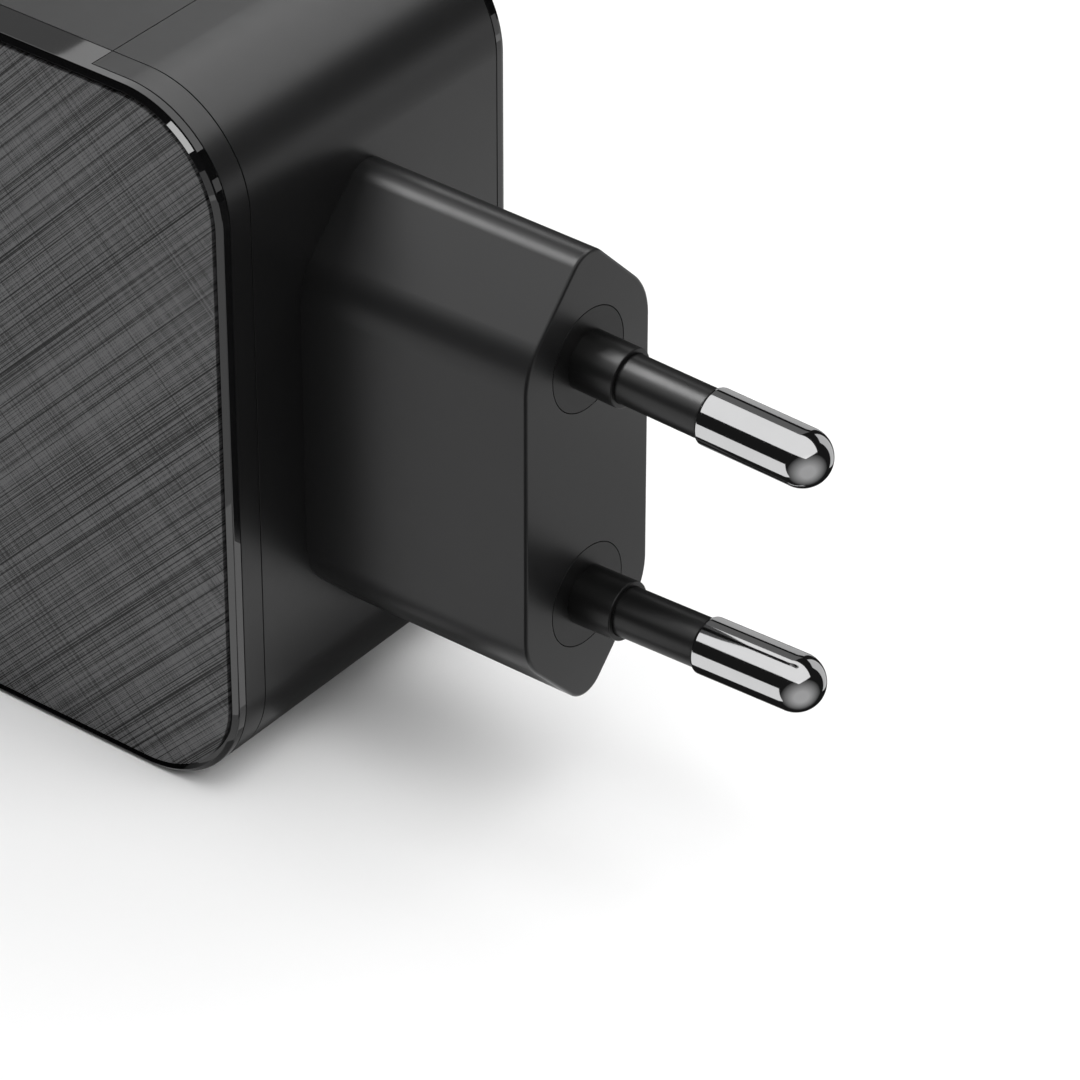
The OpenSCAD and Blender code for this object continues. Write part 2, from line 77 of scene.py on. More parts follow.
REAR_Y = frame_high.y
FRONT_Y = frame_low.y
HALF_H = frame_high.z
SIDE_X = frame_high.x
SEAM_X = shell_high.x
EDGE_RIGHT = band_high.x
EDGE_LEFT = -shell_low.x
SPLIT_Y = shell_high.y
FACE_Y = tower_high.y
PANEL_X = panel_high.x
PANEL_T = panel_high.x - panel_low.x

# Sizes that the boxes don't tell
INNER_X = 12.6          # inner face of a frame's hidden part
CORNER_R = 8.2          # of the body, seen from the side
WALL = 2.0
RIM_BEVEL = 0.35
LEFT_BEVEL_W = 0.22
LEFT_BEVEL_IN = 0.04
GROOVE_W = 0.35
GROOVE_D = 0.4
FRAME_GAP = 0.1         # between a frame and the shell's wall
PANEL_GAP = 0.02        # between a film panel and its frame
TAPE_T = 0.1
PANEL_INSET = RIM_BEVEL + GROOVE_W
TRAY_X = PANEL_X - PANEL_T - TAPE_T

TOWER_HALF_W_FACE = 6.52
TOWER_HALF_W_BASE = 6.85
TOWER_HALF_H = 18.28    # to the sharp point that TOWER_TIP_R rounds off
TOWER_SLANT = 6.73      # height of a slanted face
TOWER_SIDE_R = 5.0
TOWER_TIP_R = 2.0
TOWER_STEPS = 14
TOWER_WALL = 1.2
TOWER_EDGE_R = 0.24
FACE_WALL = 3.0

PIN_R = 2.0
PIN_L = 19.0
PIN_PITCH_ROOT = 18.5
PIN_PITCH_TIP = 17.4
PIN_CORE_R = 1.2
SLEEVE_R = 1.75
SLEEVE_END = 9.8
COLLAR_R = 2.1
COLLAR_L = 3.4
BUSH_R = 3.7
BUSH_FLANGE = 0.8
BUSH_L = 5.0
BUSH_GAP = 0.05         # between an insert and its hole
BUSH_BACK_GAP = 0.2     # between an insert and the pin's flange
BUSH_FLANGE_GAP = 0.1   # between an insert's flange and the tower's face wall
BORE_GAP = 0.01         # between an insert and the sleeve
PIN_TAIL = -9.5         # where a pin ends inside the charger, along its axis
PIN_TAIL_R = 1.5
PIN_FLANGE_R = 2.5
PIN_FLANGE_T = 0.8

FASCIA_T = 1.0
FASCIA_R = 2.5
PORT_T = 0.3
PORTS = {"usb_c_shell_upper": 1.62, "usb_c_shell_middle": 1.62, "usb_a_shell": 0.6}  # corner radii
PORT_HOLE_GAP = 0.2    # round a port in the shell
PORT_LIP_GAP = 0.12    # and in the fascia
TONGUE_GAP = 0.02
TONGUE_SIDE_R = 0.4    # as a share of a tongue's thickness
TONGUE_TIP_R = 0.3     # the same
LEAST_FLAT = 0.01      # half of what two roundings leave between them
# Of each tongue: the y of its root, its width and thickness, and its z
TONGUES = {
    "usb_c_tongue_upper": (-61, 6.69, 0.7, 12.5),
    "usb_c_tongue_middle": (-61, 6.69, 0.7, 0),
    "usb_a_tongue": (-58.5, 11.1, 1.84, -11.8),
}

SEAM = 0.035           # half the width of the gap between two shell pieces
EDGE_R = 0.03          # rounding of a moulding's edge
RIM_R = 0.2            # of the outer edge of the +X rim
LEFT_RIM_R = 0.02      # of the outer edge of the -X rim
TIP_R = 0.012          # of the inner edges of both rims
PIN_EDGE_R = 0.3       # of the edge where a pin's metal end starts
PIN_TAIL_EDGE_R = 0.2
PIN_FLANGE_EDGE_R = 0.1
SLEEVE_EDGE_R = 0.06
COLLAR_END_R = 0.1     # of the outer edge of a collar's end
COLLAR_BORE_R = 0.03   # and of its inner edge
FASCIA_EDGE_R = 0.12
FASCIA_LIP_R = 0.1
PORT_LIP_OUTER_R = 0.08
PORT_LIP_INNER_R = 0.12
SMOOTH_ANGLE = 33      # faces that meet at more than this many degrees keep a crisp edge
TURN_STEPS = 96
TIP_STEPS = 24

# ---- mesh building


class Mesh:
    """Faces given by their corner points. Points that coincide become one vertex."""

    def __init__(self):
        self.index = {}
        self.points = []
        self.faces = []
        self.weights = []

    def vertex(self, point):
        key = tuple(round(c, 4) for c in point)
        if key not in self.index:
            self.index[key] = len(self.points)
            self.points.append(Vector(point))
        return self.index[key]

    def face(self, corners, weight=None):
        ids = []
        for corner in corners:
            i = self.vertex(corner)
            if i not in ids:
                ids.append(i)
        if len(ids) > 2:
            self.faces.append(ids)
            self.weights.append(weight or polygon_area([self.points[i] for i in ids]))

    def sweep(self, columns, closed_path=False, closed_profile=False, skip=()):
        """Quads between neighbouring columns, each a list of as many points."""
        count = len(columns)
        rows = len(columns[0])
        for c in range(count if closed_path else count - 1):
            a, b = columns[c], columns[(c + 1) % count]
            for r in range(rows if closed_profile else rows - 1):
                s = (r + 1) % rows
                if (c, r) not in skip:
                    self.face([a[r], b[r], b[s], a[s]])

    def fill(self, *loops):
        """A flat region bounded by the first loop, with the others as holes."""
        corners = [Vector(p) for loop in loops for p in loop]
        triangles = tessellate_polygon([[Vector(p) for p in loop] for loop in loops])
        area = sum(polygon_area([corners[i] for i in t]) for t in triangles)
        for t in triangles:
            self.face([corners[i] for i in t], weight=area)

    def ring(self, columns):
        """A swept ring, filled flat at both ends of its columns."""
        self.sweep(columns, closed_path=True)
        self.fill([column[0] for column in columns])
        self.fill([column[-1] for column in columns])

    def mirror_x(self):
        self.points = [Vector((-p.x, p.y, p.z)) for p in self.points]

    def build(self, name, nodes):
        """The finished object, standing for its CAD nodes."""
        data = bpy.data.meshes.new(name)
        data.from_pydata([p * MM for p in self.points], [], self.faces)
        face_outwards(data)
        set_normals(data, self.weights)
        piece = add_object(name, data)
        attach(piece, "root")
        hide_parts(*nodes)
        return piece


def polygon_area(points):
    total = Vector((0, 0, 0))
    for a, b in zip(points[1:], points[2:]):
        total += (a - points[0]).cross(b - points[0])
    return total.length / 2


def face_outwards(data):
    work = bmesh.new()
    work.from_mesh(data)
    bmesh.ops.recalc_face_normals(work, faces=work.faces)
    work.to_mesh(data)
    work.free()


def set_normals(data, weights):
    """Corner normals that leave flats flat: at a corner, big faces outweigh small ones."""
    limit = math.cos(math.radians(SMOOTH_ANGLE))
    around = [[] for _ in data.vertices]
    for polygon in data.polygons:
        for v in polygon.vertices:
            around[v].append(polygon.index)
    face_normals = [p.normal.copy() for p in data.polygons]
    corner_normals = []
    for polygon in data.polygons:
        own = face_normals[polygon.index]
        for v in polygon.vertices:
            total = Vector((0, 0, 0))
            for i in around[v]:
                if face_normals[i].dot(own) > limit:
                    total += face_normals[i] * weights[i] ** 2
            corner_normals.append(total.normalized() if total.length > 0 else own)
    data.polygons.foreach_set("use_smooth", [True] * len(data.polygons))
    data.normals_split_custom_set(corner_normals)


def corner_fan(before, corner, after, steps):
    """Centre and outward directions of the arc that touches both sides of a corner."""
    here = Vector(corner[:2])
    back = (Vector(before[:2]) - here).normalized()
    ahead = (Vector(after[:2]) - here).normalized()
    half = back.angle(ahead) / 2
    middle = (back + ahead).normalized()
    centre = here + middle * (corner[2] / math.sin(half))
    sweep = math.pi / 2 - half
    side = Vector((-middle.y, middle.x))
    if side.dot(back) < 0:
        side = -side
    normals = []
    for k in range(steps + 1):
        angle = sweep * (1 - 2 * k / steps)
        normals.append(side * math.sin(angle) - middle * math.cos(angle))
    return centre, normals


def corner_points(corners, i, steps):
    """Points of one (u, v, radius) corner of a closed line."""
    radius = corners[i][2]
    if radius == 0:
        return [Vector(corners[i][:2])]
    following = corners[(i + 1) % len(corners)]
    centre, normals = corner_fan(corners[i - 1], corners[i], following, steps)
    return [centre + normal * radius for normal in normals]


def rounded_ring(corners, steps=4):
    """A closed line through (u, v, radius) corners, each turned by an arc of its radius."""
    return [point for i in range(len(corners)) for point in corner_points(corners, i, steps)]


def rounded(corners, steps=4):
    """The same for an open line. Its two ends stay sharp."""
    path = [Vector(corners[0][:2])]
    for i in range(1, len(corners) - 1):
        path += corner_points(corners, i, steps)
    return path + [Vector(corners[-1][:2])]


class Place:
    """One place on an outline: the point at inset i is centre + (radius - i) * normal."""

    def __init__(self, centre, normal, radius):
        self.centre = Vector(centre)
        self.normal = Vector(normal)
        self.radius = radius

    def at(self, inset):
        return self.centre + self.normal * (self.radius - inset)


def outline(corners, steps):
    """Places round a closed outline of (u, v, radius) corners, in order."""
    places = []
    for i, corner in enumerate(corners):
        following = corners[(i + 1) % len(corners)]
        centre, normals = corner_fan(corners[i - 1], corner, following, steps)
        places += [Place(centre, normal, corner[2]) for normal in normals]
    return places


def rounded_rect(width, height, radius, steps=8, centre=(0, 0)):
    cu, cv = centre
    u, v = width / 2, height / 2
    return outline([(cu + u, cv + v, radius), (cu - u, cv + v, radius),
                    (cu - u, cv - v, radius), (cu + u, cv - v, radius)], steps)


def turn_angle(k):
    return 2 * math.pi * k / TURN_STEPS


def circle(radius, centre):
    angles = [turn_angle(k) for k in range(TURN_STEPS)]
    return [Place(centre, (math.cos(angle), math.sin(angle)), radius) for angle in angles]


# ---- body outline

ARC_STEPS = 28
CORNER_Y = {"rear": REAR_Y - CORNER_R, "front": FRONT_Y + CORNER_R}
CORNER_Z = HALF_H - CORNER_R


def half_loop(end, split):
    """Places of the side view from the parting line round one end and back to it.

    The rear half runs from the top to the bottom, the front half from the bottom up.
    """
    way = 1 if end == "rear" else -1
    y = CORNER_Y[end]
    places = [Place((split, way * CORNER_Z), (0, way), CORNER_R)]
    for k in range(ARC_STEPS + 1):
        angle = math.pi / 2 * k / ARC_STEPS
        normal = (way * math.sin(angle), way * math.cos(angle))
        places.append(Place((y, way * CORNER_Z), normal, CORNER_R))
    for k in range(ARC_STEPS + 1):
        angle = math.pi / 2 * k / ARC_STEPS
        normal = (way * math.cos(angle), -way * math.sin(angle))
        places.append(Place((y, -way * CORNER_Z), normal, CORNER_R))
    places.append(Place((split, -way * CORNER_Z), (0, -way), CORNER_R))
    return places


def full_loop():
    return half_loop("rear", SPLIT_Y) + half_loop("front", SPLIT_Y)


def side_column(place, profile):
    """Points of a (x, inset) profile at one place of the side view."""
    column = []
    for x, inset in profile:
        y, z = place.at(inset)
        column.append((x, y, z))
    return column


def end_loop(places, y, inset, stretch=1.0):
    """Points of an end view's outline, all at one y."""
    loop = []
    for place in places:
        x, z = place.at(inset)
        loop.append((x * stretch, y, z))
    return loop


# ---- shells


def shell_profile(x0, x1):
    """Section of a 2 mm wall between two seams, as (x, inset), outer edges broken."""
    return rounded_ring([(x0, 0, EDGE_R), (x1, 0, EDGE_R), (x1, WALL, 0), (x0, WALL, 0)])


FLAT_COLUMN = ARC_STEPS + 1    # where the flat face of a half loop starts
OUTER_ROW = 4                  # where shell_profile's outer skin starts
INNER_ROW = 10                 # and its inner skin
OPENINGS = {(FLAT_COLUMN, OUTER_ROW), (FLAT_COLUMN, INNER_ROW)}


def shell_wall(mesh, end, split, x0, x1, skip=()):
    """Half of the body's wall between two seams, closed at the parting line."""
    profile = shell_profile(x0, x1)
    columns = [side_column(place, profile) for place in half_loop(end, split)]
    mesh.sweep(columns, closed_profile=True, skip=skip)
    mesh.fill(columns[0])
    mesh.fill(columns[-1])
    return columns


def strip(columns, column, row):
    """Corners of one quad of a sweep."""
    following = (row + 1) % len(columns[0])
    return [columns[column][row], columns[column + 1][row],
            columns[column + 1][following], columns[column][following]]


def bore(mesh, outlines, edge):
    """Walls of holes: the (y, inset) points of an edge, swept round each outline."""
    holes = []
    for places in outlines:
        hole = [end_loop(places, y, inset) for y, inset in edge]
        mesh.sweep(hole, closed_profile=True)
        holes.append(hole)
    return holes


def tower_stretch(y):
    """Draft of the tower: its width grows towards the rear face."""
    share = (FACE_Y - y) / (FACE_Y - REAR_Y)
    half = TOWER_HALF_W_FACE + (TOWER_HALF_W_BASE - TOWER_HALF_W_FACE) * share
    return half / TOWER_HALF_W_FACE


def tower_outline():
    """The plug face: a flat hexagon, with its points above and below."""
    w = TOWER_HALF_W_FACE
    tip = TOWER_HALF_H
    shoulder = tip - TOWER_SLANT
    return outline([(w, shoulder, TOWER_SIDE_R), (0, tip, TOWER_TIP_R),
                    (-w, shoulder, TOWER_SIDE_R), (-w, -shoulder, TOWER_SIDE_R),
                    (0, -tip, TOWER_TIP_R), (w, -shoulder, TOWER_SIDE_R)], TOWER_STEPS)


def rear_cover():
    """Satin shell behind the parting line, with the plug tower."""
    mesh = Mesh()
    left, right = -EDGE_LEFT + SEAM, SEAM_X - SEAM
    columns = shell_wall(mesh, "rear", SPLIT_Y + SEAM, left, right, OPENINGS)
    tower = tower_outline()
    inner_y = REAR_Y - WALL
    back_y = FACE_Y - FACE_WALL
    skin = rounded([(REAR_Y, 0, 0), (FACE_Y, 0, TOWER_EDGE_R), (FACE_Y, 1, 0)], 5)[:-1]
    rows = [end_loop(tower, y, inset, tower_stretch(y)) for y, inset in skin]
    cavity = [end_loop(tower, y, TOWER_WALL, tower_stretch(y)) for y in (inner_y, back_y)]
    mesh.sweep(rows, closed_profile=True)
    mesh.sweep(cavity, closed_profile=True)
    mesh.fill(strip(columns, FLAT_COLUMN, OUTER_ROW), rows[0])
    mesh.fill(strip(columns, FLAT_COLUMN, INNER_ROW), cavity[0])
    edge = rounded([(FACE_Y, -1, 0), (FACE_Y, 0, EDGE_R), (back_y, 0, 0)], 3)[1:]
    seats = [circle(BUSH_R + BUSH_GAP, (0, side * PIN_PITCH_ROOT / 2)) for side in (1, -1)]
    holes = bore(mesh, seats, edge)
    mesh.fill(rows[-1], *[hole[0] for hole in holes])
    mesh.fill(cavity[-1], *[hole[-1] for hole in holes])
    return mesh.build("rear_cover", ["rear_shell"])


def port_places(node, clearance=0.0):
    """Outline of a port's metal shell, drawn in the end view and grown by a clearance."""
    low, high = box_mm(node)
    radius = min(PORTS[node], (high.z - low.z) / 2 - LEAST_FLAT) + clearance
    size = (high.x - low.x + 2 * clearance, high.z - low.z + 2 * clearance)
    return rounded_rect(*size, radius, centre=(0, (low.z + high.z) / 2))


def front_cover():
    """Satin shell ahead of the parting line, with the recess and holes for the ports."""
    mesh = Mesh()
    left, right = -EDGE_LEFT + SEAM, SEAM_X - SEAM
    columns = shell_wall(mesh, "front", SPLIT_Y - SEAM, left, right, OPENINGS)
    floor_y = FRONT_Y + FASCIA_T
    around = fascia_places(SEAM)
    edge = rounded([(FRONT_Y, -1, 0), (FRONT_Y, 0, EDGE_R), (floor_y, 0, 0)], 3)[1:]
    recess = [end_loop(around, y, inset) for y, inset in edge]
    mesh.sweep(recess, closed_profile=True)
    mesh.fill(strip(columns, FLAT_COLUMN, OUTER_ROW), recess[0])
    ports = [port_places(node, PORT_HOLE_GAP) for node in PORTS]
    holes = bore(mesh, ports, ((floor_y, 0), (FRONT_Y + WALL, 0)))
    mesh.fill(recess[-1], *[hole[0] for hole in holes])
    mesh.fill(strip(columns, FLAT_COLUMN, INNER_ROW), *[hole[1] for hole in holes])
    return mesh.build("front_cover", ["front_shell"])


def rear_rim_band():
    """Satin band between the +X seam and the glossy frame, behind the parting line."""
    mesh = Mesh()
    shell_wall(mesh, "rear", SPLIT_Y + SEAM, SEAM_X + SEAM, EDGE_RIGHT - SEAM)
    return mesh.build("rear_rim_band", ["rear_band"])


# ---- glossy frames


RIGHT_RIM = [(SIDE_X - RIM_BEVEL, 0, RIM_R), (SIDE_X, RIM_BEVEL, TIP_R)]
LEFT_RIM = [(SIDE_X - LEFT_BEVEL_W, 0, LEFT_RIM_R), (SIDE_X, LEFT_BEVEL_IN, TIP_R),
            (SIDE_X, RIM_BEVEL, TIP_R)]


def frame_profile(edge, start, wall_x, rim):
    """From a frame's inner face round its wall, rim and groove, as (x, inset).

    start is where its underside begins, and rim holds the corners of its rim.
    """
    back = WALL + FRAME_GAP
    groove_x = SIDE_X - GROOVE_D
    underside = [Vector((INNER_X, back)), Vector((start, back if start > INNER_X else WALL))]
    wall = [(edge, WALL, 0), (edge, 0, EDGE_R), (wall_x + SEAM + EDGE_R, 0, 0)]
    recess = [(groove_x, RIM_BEVEL, 0), (groove_x, PANEL_INSET, 0), (TRAY_X, PANEL_INSET, 0)]
    return underside + rounded(wall + rim + recess)


def glossy_frame_right():
    """+X frame: a ring behind the parting line, and a wider band ahead of it."""
    mesh = Mesh()
    split = SPLIT_Y - SEAM
    behind = frame_profile(EDGE_RIGHT + SEAM, EDGE_RIGHT + SEAM, EDGE_RIGHT, RIGHT_RIM)
    ahead = frame_profile(SEAM_X + SEAM, INNER_X, EDGE_RIGHT, RIGHT_RIM)
    columns = [side_column(place, behind) for place in half_loop("rear", split)]
    columns += [side_column(place, ahead) for place in half_loop("front", split)]
    mesh.ring(columns)
    return mesh.build("glossy_frame_right", ["side_frame_right"])


def glossy_frame_left():
    """-X frame: one ring all round."""
    mesh = Mesh()
    profile = frame_profile(EDGE_LEFT + SEAM, EDGE_LEFT + SEAM, EDGE_LEFT, LEFT_RIM)
    columns = [side_column(place, profile) for place in full_loop()]
    mesh.ring(columns)
    mesh.mirror_x()
    return mesh.build("glossy_frame_left", ["side_frame_left"])


def film_panel(side, node):
    """Film panel that lies in a frame's recess."""
    mesh = Mesh()
    inset = PANEL_INSET + PANEL_GAP
    back = PANEL_X - PANEL_T
    profile = rounded([(back, inset, 0), (PANEL_X, inset, EDGE_R), (PANEL_X, inset + 1, 0)])
    columns = [side_column(place, profile[:-1]) for place in full_loop()]
    mesh.ring(columns)
    if side < 0:
        mesh.mirror_x()
    return mesh.build(node.replace("side", "film"), [node])


# ---- pins

PIN_TILT = math.atan((PIN_PITCH_ROOT - PIN_PITCH_TIP) / 2 / PIN_L)
PINS = ((1, "upper"), (-1, "lower"))


def pin_point(side, along, radius, angle):
    """A point about a pin's tilted axis, from the engagement face."""
    lean = math.sin(PIN_TILT)
    rise = math.cos(PIN_TILT)
    u = radius * math.cos(angle)
    v = radius * math.sin(angle)
    y = FACE_Y + along * rise + side * v * lean
    z = side * (PIN_PITCH_ROOT / 2 - along * lean) + v * rise
    return (u, y, z)


def lathe(mesh, side, profile, closed_profile=False):
    """Turns an (along, radius) profile about a pin's axis."""
    columns = []
    for k in range(TURN_STEPS):
        angle = turn_angle(k)
        columns.append([pin_point(side, along, radius, angle) for along, radius in profile])
    mesh.sweep(columns, closed_path=True, closed_profile=closed_profile)


def pin_metal(side, label):
    """Plated pin: tail, flange, thin core in the sleeve, and the full-size rounded end."""
    mesh = Mesh()
    flange = -BUSH_L - PIN_FLANGE_T
    body = rounded([(PIN_TAIL, 0, 0), (PIN_TAIL, PIN_TAIL_R, PIN_TAIL_EDGE_R),
                    (flange, PIN_TAIL_R, 0), (flange, PIN_FLANGE_R, PIN_FLANGE_EDGE_R),
                    (-BUSH_L, PIN_FLANGE_R, PIN_FLANGE_EDGE_R), (-BUSH_L, PIN_CORE_R, 0),
                    (SLEEVE_END, PIN_CORE_R, 0), (SLEEVE_END, PIN_R, PIN_EDGE_R),
                    (PIN_L - PIN_R, PIN_R, 0)], 5)
    tip = []
    for k in range(1, TIP_STEPS + 1):
        angle = math.pi / 2 * k / TIP_STEPS
        radius = PIN_R * math.cos(angle) if k < TIP_STEPS else 0
        tip.append(Vector((PIN_L - PIN_R + PIN_R * math.sin(angle), radius)))
    lathe(mesh, side, body + tip)
    return mesh.build("pin_metal_" + label, ["pin_" + label])


def pin_insulation(side, label):
    """Sleeve over the pin's thin core."""
    mesh = Mesh()
    profile = rounded_ring([(-BUSH_L, PIN_CORE_R, 0), (SLEEVE_END, PIN_CORE_R, 0),
                            (SLEEVE_END, SLEEVE_R, SLEEVE_EDGE_R),
                            (-BUSH_L, SLEEVE_R, SLEEVE_EDGE_R)])
    lathe(mesh, side, profile, closed_profile=True)
    return mesh.build("pin_insulation_" + label, ["pin_sleeve_" + label])


def pin_insert(side, label):
    """Round insert, flush with the engagement face, with the collar round the sleeve."""
    mesh = Mesh()
    centre_z = side * PIN_PITCH_ROOT / 2
    bore = SLEEVE_R + BORE_GAP
    back = FACE_Y - BUSH_L + BUSH_BACK_GAP
    flange = FACE_Y - FACE_WALL - BUSH_FLANGE_GAP
    collar = rounded([(0, bore, 0), (COLLAR_L, bore, COLLAR_BORE_R),
                      (COLLAR_L, COLLAR_R, COLLAR_END_R), (0, COLLAR_R, 0)])
    rows = [pin_ring(side, bore, back)]
    for along, radius in collar[1:-1]:
        rows.append([pin_point(side, along, radius, turn_angle(k)) for k in range(TURN_STEPS)])
    rows.append(pin_ring(side, COLLAR_R, FACE_Y))
    disc = rounded([(FACE_Y, 1, 0), (FACE_Y, 0, EDGE_R), (flange, 0, 0),
                    (flange, -BUSH_FLANGE, 0), (back, -BUSH_FLANGE, 0)], 3)
    rim = circle(BUSH_R, (0, centre_z))
    rows += [end_loop(rim, y, inset) for y, inset in disc[1:]]
    mesh.sweep(rows, closed_path=True, closed_profile=True)
    return mesh.build("pin_insert_" + label, ["pin_bush_" + label])


def pin_ring(side, radius, y):
    """Loop about a pin's axis, slid along the axis into the plane at y."""
    loop = []
    for k in range(TURN_STEPS):
        px, py, pz = pin_point(side, 0, radius, turn_angle(k))
        loop.append((px, y, pz + side * (py - y) * math.tan(PIN_TILT)))
    return loop


# ---- ports


def fascia_places(clearance=0.0):
    width = fascia_high.x - fascia_low.x + 2 * clearance
    height = fascia_high.z - fascia_low.z + 2 * clearance
    return rounded_rect(width, height, FASCIA_R + clearance, 10)


def fascia_plate():
    """Glossy plate with the three port openings."""
    mesh = Mesh()
    back = FRONT_Y + FASCIA_T
    edge = rounded([(back, 0, 0), (FRONT_Y, 0, FASCIA_EDGE_R), (FRONT_Y, 1, 0)])[:-1]
    rows = [end_loop(fascia_places(), y, inset) for y, inset in edge]
    mesh.sweep(rows, closed_profile=True)
    lip = rounded([(FRONT_Y, -1, 0), (FRONT_Y, 0, FASCIA_LIP_R), (back, 0, 0)])[1:]
    holes = bore(mesh, [port_places(node, PORT_LIP_GAP) for node in PORTS], lip)
    mesh.fill(rows[-1], *[hole[0] for hole in holes])
    mesh.fill(rows[0], *[hole[-1] for hole in holes])
    return mesh.build("fascia_plate", ["port_fascia"])


def port_sleeve(node):
    """Drawn metal shell of a port, with a rolled mouth."""
    mesh = Mesh()
    low, high = box_mm(node)
    profile = rounded_ring([(low.y, 0, PORT_LIP_OUTER_R), (low.y, PORT_T, PORT_LIP_INNER_R),
                            (high.y, PORT_T, 0), (high.y, 0, 0)])
    places = port_places(node)
    rows = [end_loop(places, y, inset) for y, inset in profile]
    mesh.sweep(rows, closed_path=True, closed_profile=True)
    return mesh.build(node.replace("shell", "sleeve"), [node])


def port_tongue(node, base_y, width, thickness, z):
    """Moulded tongue on the base that closes the back of a port."""
    mesh = Mesh()
    low, high = box_mm(node)
    around = port_places(node.replace("tongue", "shell"), -PORT_T - TONGUE_GAP)
    base = [end_loop(around, y, 0) for y in (high.y, base_y)]
    mesh.sweep(base, closed_profile=True)
    mesh.fill(base[0])
    places = rounded_rect(width, thickness, thickness * TONGUE_SIDE_R, 5, centre=(0, z))
    edge = rounded([(base_y, 0, 0), (low.y, 0, thickness * TONGUE_TIP_R), (low.y, 1, 0)])[:-1]
    rows = [end_loop(places, y, inset) for y, inset in edge]
    mesh.sweep(rows, closed_profile=True)
    mesh.fill(rows[-1])
    mesh.fill(base[1], rows[0])
    return mesh.build(node.replace("tongue", "blade"), [node])


# ---- materials

# Sockets of a Mix node that mixes colours
MIX_SHARE = 0
MIX_DARK = 6
MIX_LIGHT = 7
MIX_RESULT = 2

NOISE_RANGE = (0.3, 0.7)        # what a noise mostly stays within
NOISE_SHIFT = (1, 0.7, 1.3)     # the way along which an offset moves it
THREAD_STRETCH = 80             # along X, so a thread hardly changes through the film


def set_inputs(node, values):
    for socket, value in values.items():
        node.inputs[socket].default_value = value


class Finish:
    """A procedural material under construction. Uniform values sit on the shader."""

    def __init__(self, name, color, roughness, metallic=0.0, ior=1.46):
        self.material = bpy.data.materials.new(name)
        self.material.use_nodes = True
        self.tree = self.material.node_tree
        self.shader = self.tree.nodes["Principled BSDF"]
        self.color = color
        set_inputs(self.shader, {"Base Color": (*color, 1), "Roughness": roughness,
                                 "Metallic": metallic, "IOR": ior})
        self.material.diffuse_color = (*color, 1)
        self.space = self.tree.nodes.new("ShaderNodeTexCoord").outputs["Object"]

    def link(self, output, target):
        self.tree.links.new(output, target)

    def noise(self, size, detail=2.0, stretch=(1, 1, 1), turn=(0, 0, 0), offset=0.0):
        """Noise with features of about size millimetres, stretched along the turned axes."""
        turned = self.tree.nodes.new("ShaderNodeVectorRotate")
        turned.rotation_type = "EULER_XYZ"
        set_inputs(turned, {"Rotation": turn})
        self.link(self.space, turned.inputs["Vector"])
        scaled = self.tree.nodes.new("ShaderNodeMapping")
        set_inputs(scaled, {"Location": [offset * way for way in NOISE_SHIFT],
                            "Scale": [1 / (size * MM * s) for s in stretch]})
        self.link(turned.outputs["Vector"], scaled.inputs["Vector"])
        node = self.tree.nodes.new("ShaderNodeTexNoise")
        set_inputs(node, {"Scale": 1, "Detail": detail})
        self.link(scaled.outputs["Vector"], node.inputs["Vector"])
        return node.outputs["Fac"]

    def remap(self, value, low, high, out_low, out_high, smooth=False):
        node = self.tree.nodes.new("ShaderNodeMapRange")
        node.interpolation_type = "SMOOTHSTEP" if smooth else "LINEAR"
        set_inputs(node, {"From Min": low, "From Max": high,
                          "To Min": out_low, "To Max": out_high})
        self.link(value, node.inputs["Value"])
        return node.outputs["Result"]

    def combine(self, operation, a, b):
        node = self.tree.nodes.new("ShaderNodeMath")
        node.operation = operation
        for socket, value in zip(node.inputs, (a, b)):
            self.link(value, socket)
        return node.outputs[0]

    def vary_color(self, value, dark, light):
        """Colour between the finish's own colour times dark and times light."""
        node = self.tree.nodes.new("ShaderNodeMix")
        node.data_type = "RGBA"
        set_inputs(node, {MIX_DARK: (*[c * dark for c in self.color], 1),
                          MIX_LIGHT: (*[c * light for c in self.color], 1)})
        self.link(value, node.inputs[MIX_SHARE])
        self.link(node.outputs[MIX_RESULT], self.shader.inputs["Base Color"])

    def vary_roughness(self, value, low, high):
        roughness = self.remap(value, *NOISE_RANGE, low, high)
        self.link(roughness, self.shader.inputs["Roughness"])

    def bump(self, height, depth, strength=1.0):
        """Relief of about depth millimetres."""
        node = self.tree.nodes.new("ShaderNodeBump")
        set_inputs(node, {"Strength": strength, "Distance": depth * MM})
        self.link(height, node.inputs["Height"])
        self.link(node.outputs["Normal"], self.shader.inputs["Normal"])

    def pattern(self, value, roughness, shades, depth, strength):
        """One pattern in roughness, colour and relief. Gives the finished material."""
        self.vary_roughness(value, *roughness)
        self.vary_color(value, *shades)
        self.bump(value, depth, strength)
        return self.material


def satin_shell():
    """Fine satin texture of the moulded shells."""
    finish = Finish("satin_shell", (0.009, 0.009, 0.0093), 0.34)
    grain = finish.noise(0.09, detail=3)
    finish.vary_roughness(finish.noise(1.2), 0.33, 0.35)
    finish.vary_color(grain, 0.85, 1.15)
    finish.bump(grain, 0.002, 0.3)
    return finish.material


def gloss_black():
    """Piano black with the faint waviness of a polished moulding."""
    finish = Finish("gloss_black", (0.004, 0.004, 0.0042), 0.015, ior=1.5)
    wave = finish.noise(6, detail=1)
    finish.vary_roughness(finish.noise(2.5, detail=3), 0.012, 0.018)
    finish.vary_color(wave, 0.9, 1.1)
    finish.bump(wave, 0.006, 0.04)
    return finish.material


def threads(finish, width, length, turn, offset):
    """Straight lines of noise, this wide and long in millimetres, turned about X."""
    stretch = (THREAD_STRETCH, length / width, 1)
    return finish.noise(width, 1.0, stretch, (turn, 0, 0), offset)


